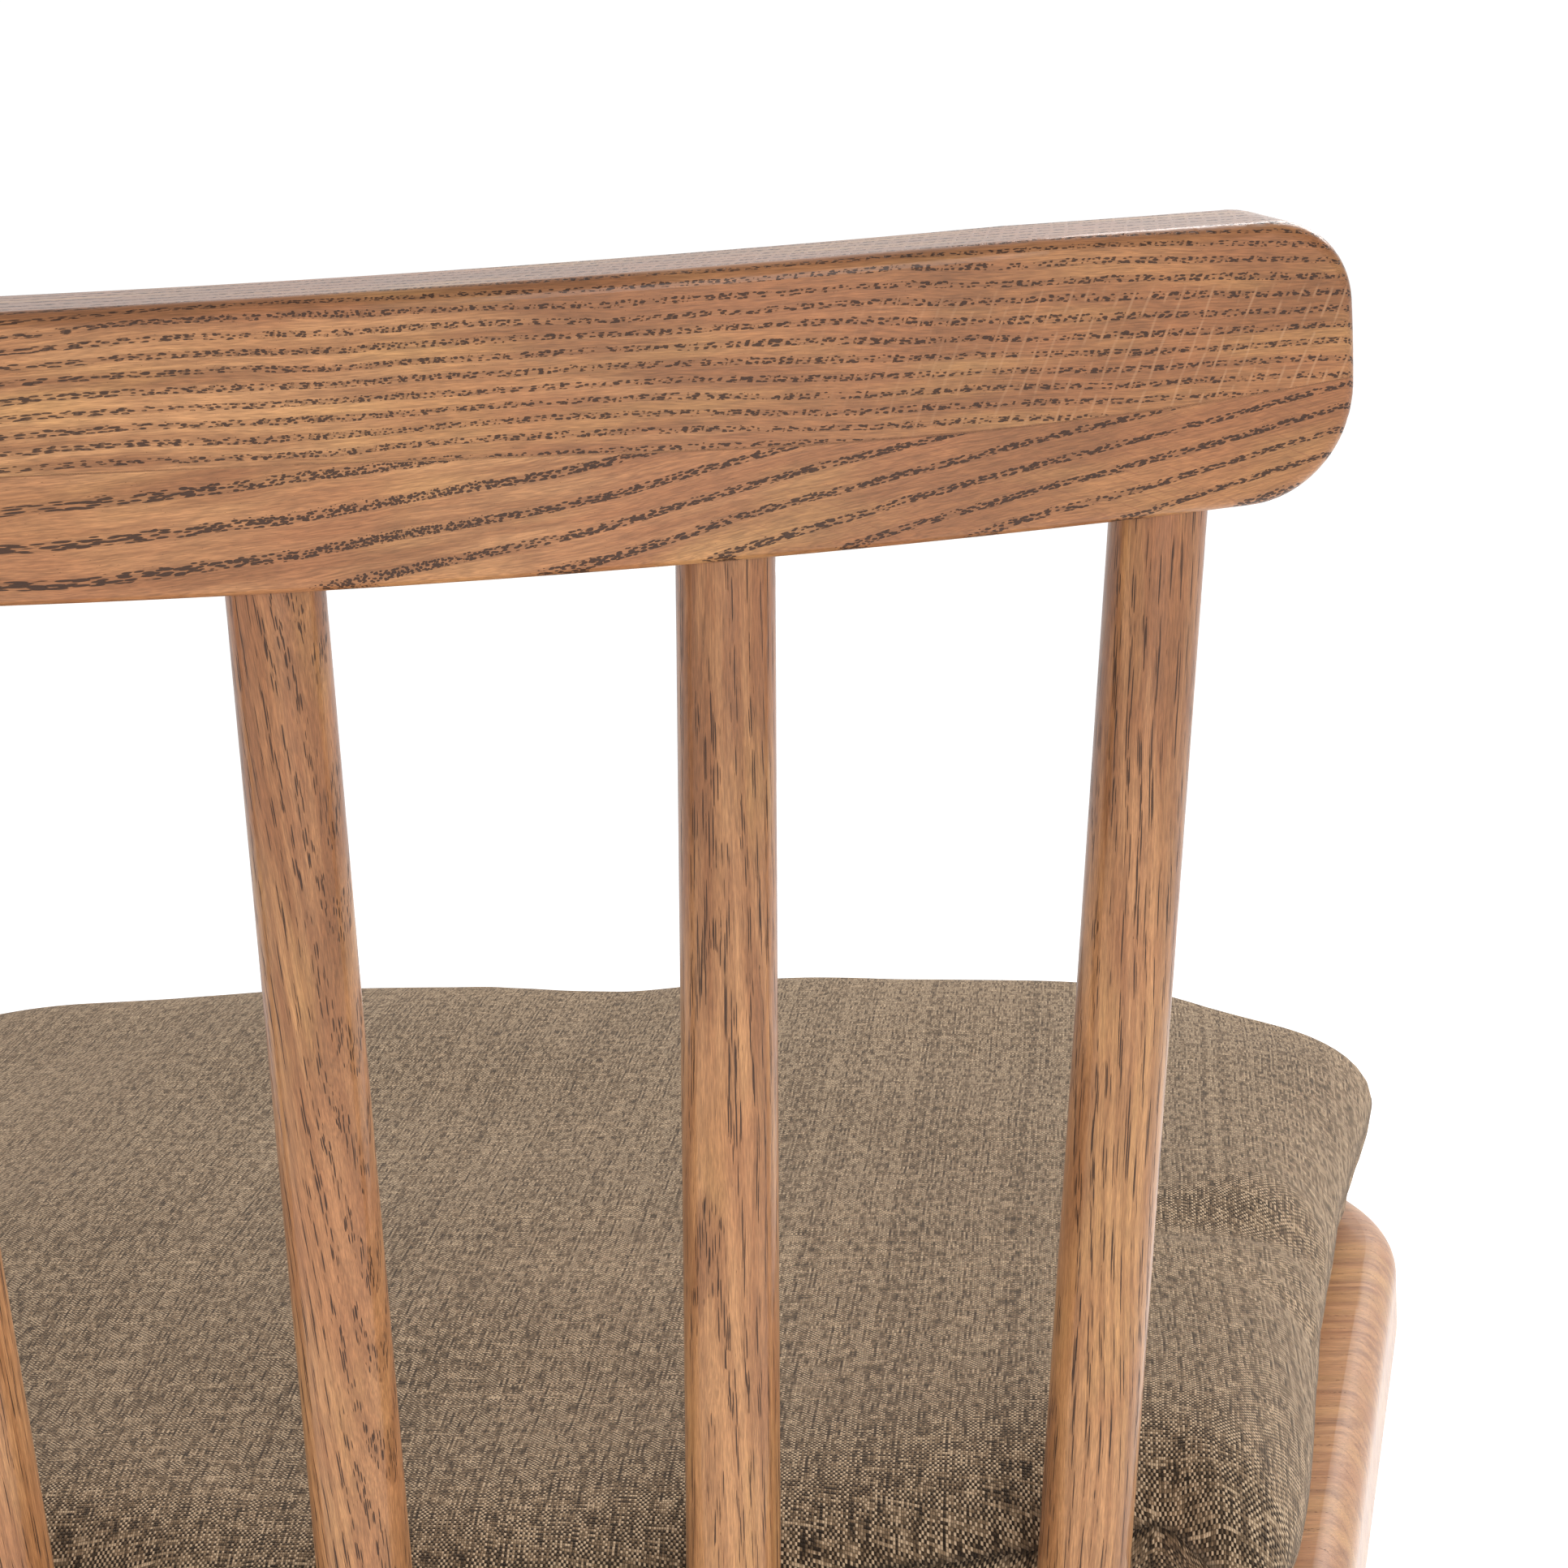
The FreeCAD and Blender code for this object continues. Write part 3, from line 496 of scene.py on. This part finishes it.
form = bmesh.new()
bmesh.ops.create_grid(form, x_segments=104, y_segments=88, size=1.0)
weave = form.loops.layers.uv.new("weave")
middle_y = (front_y + back_y) / 2
for vert in form.verts:
    a, b = vert.co.x, vert.co.y
    x, y = cushion_outline(a, b)
    swell = max(0.0, 1 - max(abs(a), abs(b)) ** 4)
    vert.co = Vector((x * PATTERN_GROWTH, middle_y + (y - middle_y) * PATTERN_GROWTH, PANEL_BULGE * swell))
for face in form.faces:
    for loop in face.loops:
        loop[weave].uv = loop.vert.co.xy
lower = bmesh.ops.duplicate(form, geom=form.verts[:] + form.edges[:] + form.faces[:])
lower_faces = [item for item in lower["geom"] if isinstance(item, bmesh.types.BMFace)]
lower_verts = [item for item in lower["geom"] if isinstance(item, bmesh.types.BMVert)]
for vert in lower_verts:
    vert.co.z = -vert.co.z
for face in lower_faces:
    for loop in face.loops:
        loop[weave].uv += LOWER_CLOTH_SHIFT
seam_mark = form.verts.layers.float.new("seam")
for vert in form.verts:
    vert[seam_mark] = 1.0 if vert.is_boundary else 0.0
bmesh.ops.reverse_faces(form, faces=lower_faces)
bmesh.ops.remove_doubles(form, verts=form.verts, dist=0.0005)
bmesh.ops.recalc_face_normals(form, faces=form.faces)
for vert in form.verts:
    vert.co.z += seam_z
cushion_mesh = bpy.data.meshes.new("cushion")
form.to_mesh(cushion_mesh)
form.free()
panel_plan = np.array([v.co for v in cushion_mesh.vertices])[:, :2]
panel_plan[:, 1] = middle_y + (panel_plan[:, 1] - middle_y) / PATTERN_GROWTH
panel_plan[:, 0] /= PATTERN_GROWTH
cushion = bpy.data.objects.new("cushion", cushion_mesh)
scene.collection.objects.link(cushion)

FILLING_STEPS = 26
cloth = cushion.modifiers.new("stuffing", "CLOTH")
cloth.settings.quality = 6
cloth.settings.mass = 0.25
cloth.settings.tension_stiffness = 25
cloth.settings.compression_stiffness = 25
cloth.settings.shear_stiffness = 8
cloth.settings.bending_stiffness = 0.6
cloth.settings.use_pressure = True
cloth.settings.uniform_pressure_force = 14.0
cloth.settings.effector_weights.gravity = 0.0
cloth.collision_settings.use_collision = False
cloth.point_cache.frame_start = 1
cloth.point_cache.frame_end = FILLING_STEPS
for step in range(1, FILLING_STEPS + 1):
    scene.frame_set(step)
filled = cushion.evaluated_get(bpy.context.evaluated_depsgraph_get())
places = np.array([v.co for v in filled.to_mesh().vertices])
filled.to_mesh_clear()
cushion.modifiers.clear()
scene.frame_set(1)

# The filled cushion is settled into its own space: pressed flat on the seat underneath,
# softly crowned on top, and no wider than the seat lets it be.
EDGE_RISE = 1.8
EDGE_ROUNDING = 0.75
SPREAD_KEPT = 0.035
height = places[:, 2] - seam_z
fullest = math.tanh(EDGE_RISE * np.abs(height).max() / half_thick)
swollen = np.tanh(EDGE_RISE * height / half_thick) / fullest
swollen = np.sign(swollen) * np.abs(swollen) ** EDGE_ROUNDING
middle_x = (places[:, 0].min() + places[:, 0].max()) / 2
places[:, 0] = (places[:, 0] - middle_x) * (cover_high.x - cover_low.x) / np.ptp(places[:, 0])
places[:, 1] = front_y + (places[:, 1] - places[:, 1].min()) * (back_y - front_y) / np.ptp(places[:, 1])
places[:, :2] = panel_plan + (places[:, :2] - panel_plan) * SPREAD_KEPT


def mound(x, y, high, at, wide):
    """A soft rise in the filling, or a hollow where high is negative."""
    return high * math.exp(-((x - at[0]) / wide[0]) ** 2 - ((y - at[1]) / wide[1]) ** 2)


# The filling gathers near the front and dips at the middle of its edge. It slumps at the
# back, thins out in the front corners, and is folded in from the sitter's right.
lumps = []
for x, y, _ in places:
    lump = noise.noise(Vector((x * 7.0, y * 7.0, 3.0))) * 0.0045
    lump += noise.noise(Vector((x * 16.0, y * 16.0, 9.0))) * 0.0018
    lump += mound(x, y, 0.0070, (-0.03, -0.17), (0.18, 0.12))
    lump += mound(x, y, -0.0020, (-0.03, -0.22), (0.03, 0.06))
    slump = mound(0.0, y, -0.0140, (0.0, 0.22), (1.0, 0.13))
    corner = mound(abs(x), y, -0.0130, (0.265, -0.22), (0.050, 0.09))
    off_fold = (x + 0.235) * 0.45 - (y - 0.003)
    fold = mound(x, off_fold, -0.0110, (-0.252, 0.0), (0.052, 0.012))
    lumps.append(lump + slump + corner + fold)
thickness = np.where(swollen > 0, half_thick + np.array(lumps), half_thick)
places[:, 2] = seam_z + swollen * thickness
cushion_mesh.vertices.foreach_set("co", places.astype(np.float32).ravel())
cushion_mesh.shade_smooth()
smooth = cushion.modifiers.new("smooth", "SUBSURF")
smooth.levels = 1
smooth.render_levels = 1

LINEN_LIGHT = (0.64, 0.466, 0.300, 1.0)
LINEN_MID = (0.24, 0.158, 0.090, 1.0)
LINEN_DARK = (0.020, 0.011, 0.005, 1.0)
THREAD = 0.00060
THREAD_SWAY = 0.0009

linen, tree, shader = new_material("linen")
cloth_place = add(tree, "UVMap", uv_map="weave").outputs[0]
sway = add(tree, "TexNoise", {"Vector": cloth_place, "Scale": 90.0, "Detail": 2.0})
shifted = add(tree, "VectorMath", {0: sway.outputs["Color"], 1: (0.5, 0.5, 0.5)}, operation="SUBTRACT")
shifted = add(tree, "VectorMath", {0: shifted.outputs[0], "Scale": THREAD_SWAY}, operation="SCALE")
shifted = add(tree, "VectorMath", {0: cloth_place, 1: shifted.outputs[0]}, operation="ADD")
counted = add(tree, "VectorMath", {0: shifted.outputs[0], "Scale": 1 / THREAD}, operation="SCALE")
part = add(tree, "SeparateXYZ", {0: counted.outputs[0]})
warp_index = calc(tree, "FLOOR", part.outputs[0])
weft_index = calc(tree, "FLOOR", part.outputs[1])
warp_edge = calc(tree, "SUBTRACT", calc(tree, "FRACT", part.outputs[0]), 0.5)
weft_edge = calc(tree, "SUBTRACT", calc(tree, "FRACT", part.outputs[1]), 0.5)
over_under = calc(tree, "ABSOLUTE", calc(tree, "MODULO", calc(tree, "ADD", warp_index, weft_index), 2.0))


def thread_tone(own_index, along):
    """How light one thread is: its own dye, and slubs along it."""
    dye = add(tree, "TexWhiteNoise", {"W": own_index}, noise_dimensions="1D").outputs["Value"]
    slub = cloudy(tree, vector(tree, calc(tree, "MULTIPLY", own_index, 0.85),
                               calc(tree, "MULTIPLY", along, 0.11), 0.0), 1.0, 1.0, 0.6)
    return calc(tree, "ADD", calc(tree, "MULTIPLY_ADD", dye, 0.50, -0.05),
                calc(tree, "MULTIPLY_ADD", slub, 3.0, -1.22))


warp_tone = thread_tone(warp_index, part.outputs[1])
weft_tone = thread_tone(calc(tree, "ADD", weft_index, 911.0), part.outputs[0])
tone = add(tree, "Mix", {0: over_under, 2: warp_tone, 3: weft_tone}, data_type="FLOAT").outputs[0]
tone = calc(tree, "ADD", tone, calc(tree, "MULTIPLY_ADD", over_under, -0.60, 0.28))
round_warp = calc(tree, "COSINE", calc(tree, "MULTIPLY", warp_edge, math.pi))
round_weft = calc(tree, "COSINE", calc(tree, "MULTIPLY", weft_edge, math.pi))
crown = calc(tree, "MULTIPLY", round_warp, round_weft)
blotch = cloudy(tree, cloth_place, 420.0, 2.0, 0.6)
broad = cloudy(tree, cloth_place, 9.0, 2.0)
tone = calc(tree, "ADD", tone, calc(tree, "MULTIPLY_ADD", blotch, 0.9, -0.45))
tone = calc(tree, "ADD", tone, calc(tree, "MULTIPLY_ADD", broad, 0.3, -0.15))
colour = tint(tree, ramp(tree, tone, 0.05, 0.60), LINEN_DARK, LINEN_MID)
colour = tint(tree, ramp(tree, tone, 0.50, 1.05), colour, LINEN_LIGHT)
seam = ramp(tree, add(tree, "Attribute", attribute_name="seam").outputs["Fac"], 0.72, 0.97)
gap_shade = calc(tree, "MULTIPLY", ramp(tree, crown, 0.0, 0.55, 0.45, 1.0),
                 calc(tree, "MULTIPLY_ADD", seam, -0.6, 1.0))
colour = tint(tree, 1.0, colour, vector(tree, gap_shade, gap_shade, gap_shade), "MULTIPLY")
pressed = calc(tree, "SUBTRACT", crown, calc(tree, "MULTIPLY", seam, 3.0))
relief = add(tree, "Bump", {"Strength": 0.7, "Distance": 0.0003, "Height": pressed})
tree.links.new(colour, shader.inputs["Base Color"])
tree.links.new(relief.outputs[0], shader.inputs["Normal"])
shader.inputs["Roughness"].default_value = 0.92
shader.inputs["Sheen Weight"].default_value = 0.34
shader.inputs["Sheen Tint"].default_value = (1.0, 0.76, 0.56, 1.0)
shader.inputs["Sheen Roughness"].default_value = 0.5
shader.inputs["Specular IOR Level"].default_value = 0.25
finish_with(cushion, linen)
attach(cushion, "cushion")
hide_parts("cushion_cover_top", "cushion_cover_bottom",
            "cushion_fibre_top", "cushion_fibre_bottom", "cushion_foam")


# ---- zip and slider ----
# A coil zip in a woven tape, sewn into the back edge just under the seam, and a small
# plated slider that opens the cover so that it can be washed.

tape, tree, shader = new_material("zip tape")
place = add(tree, "SeparateXYZ", {0: add(tree, "TexCoord").outputs["Object"]})
RIB_GAP = 0.0010
CORD_GAP = 0.0009
TAPE_DARK = (0.060, 0.040, 0.024, 1.0)
TAPE_LIGHT = (0.19, 0.135, 0.085, 1.0)
ribs = calc(tree, "SINE", calc(tree, "MULTIPLY", place.outputs[0], 2 * math.pi / RIB_GAP))
cords = calc(tree, "SINE", calc(tree, "MULTIPLY", place.outputs[2], 2 * math.pi / CORD_GAP))
knit = calc(tree, "MULTIPLY_ADD", ribs, 0.5, calc(tree, "MULTIPLY", cords, 0.5))
wear = cloudy(tree, add(tree, "TexCoord").outputs["Object"], 60.0, 3.0)
shade = calc(tree, "ADD", ramp(tree, knit, -0.8, 0.8), calc(tree, "MULTIPLY_ADD", wear, 0.5, -0.25))
tree.links.new(tint(tree, shade, TAPE_DARK, TAPE_LIGHT), shader.inputs["Base Color"])
relief = add(tree, "Bump", {"Strength": 0.8, "Distance": 0.0002, "Height": knit})
tree.links.new(relief.outputs[0], shader.inputs["Normal"])
shader.inputs["Roughness"].default_value = 0.8
finish_with(nodes["cushion_zip"], tape)

plated, tree, shader = new_material("plated slider")
rubbed = cloudy(tree, add(tree, "TexCoord").outputs["Object"], 700.0, 4.0, 0.6)
SLIDER_DULL = (0.30, 0.24, 0.17, 1.0)
SLIDER_BRIGHT = (0.42, 0.35, 0.26, 1.0)
plating = tint(tree, ramp(tree, rubbed, 0.35, 0.65), SLIDER_DULL, SLIDER_BRIGHT)
tree.links.new(plating, shader.inputs["Base Color"])
tree.links.new(ramp(tree, rubbed, 0.3, 0.7, 0.26, 0.44), shader.inputs["Roughness"])
shader.inputs["Metallic"].default_value = 1.0
finish_with(nodes["cushion_zip_slider"], plated)


# ---- foot glides and nails ----
# Turned nylon discs that keep the legs off the floor, each held by a zinc-plated nail
# sunk into its middle.

nylon, tree, shader = new_material("nylon")
place = add(tree, "TexCoord").outputs["Object"]
grains = cloudy(tree, place, 2600.0, 2.0, 0.6)
flattened = add(tree, "Mapping", {"Vector": place, "Scale": (300.0, 300.0, 1500.0)}).outputs[0]
scuffs = cloudy(tree, flattened, 1.0, 4.0, 0.65)
NYLON_DARK = (0.040, 0.028, 0.020, 1.0)
NYLON_WORN = (0.085, 0.066, 0.050, 1.0)
scuffed = tint(tree, ramp(tree, scuffs, 0.40, 0.75), NYLON_DARK, NYLON_WORN)
tree.links.new(scuffed, shader.inputs["Base Color"])
tree.links.new(ramp(tree, scuffs, 0.3, 0.7, 0.42, 0.62), shader.inputs["Roughness"])
relief = add(tree, "Bump", {"Strength": 0.5, "Distance": 0.00008, "Height": grains})
tree.links.new(relief.outputs[0], shader.inputs["Normal"])
for end in ("front", "back"):
    for side in ("left", "right"):
        finish_with(nodes["foot_glide_%s_%s" % (end, side)], nylon)

zinc, tree, shader = new_material("zinc-plated steel")
crystals = cloudy(tree, add(tree, "TexCoord").outputs["Object"], 900.0, 4.0, 0.6)
ZINC_DULL = (0.42, 0.43, 0.44, 1.0)
ZINC_BRIGHT = (0.62, 0.62, 0.60, 1.0)
zinc_bloom = tint(tree, ramp(tree, crystals, 0.35, 0.65), ZINC_DULL, ZINC_BRIGHT)
tree.links.new(zinc_bloom, shader.inputs["Base Color"])
tree.links.new(ramp(tree, crystals, 0.3, 0.7, 0.30, 0.48), shader.inputs["Roughness"])
shader.inputs["Metallic"].default_value = 1.0
finish_with(nodes["glide_nails"], zinc)
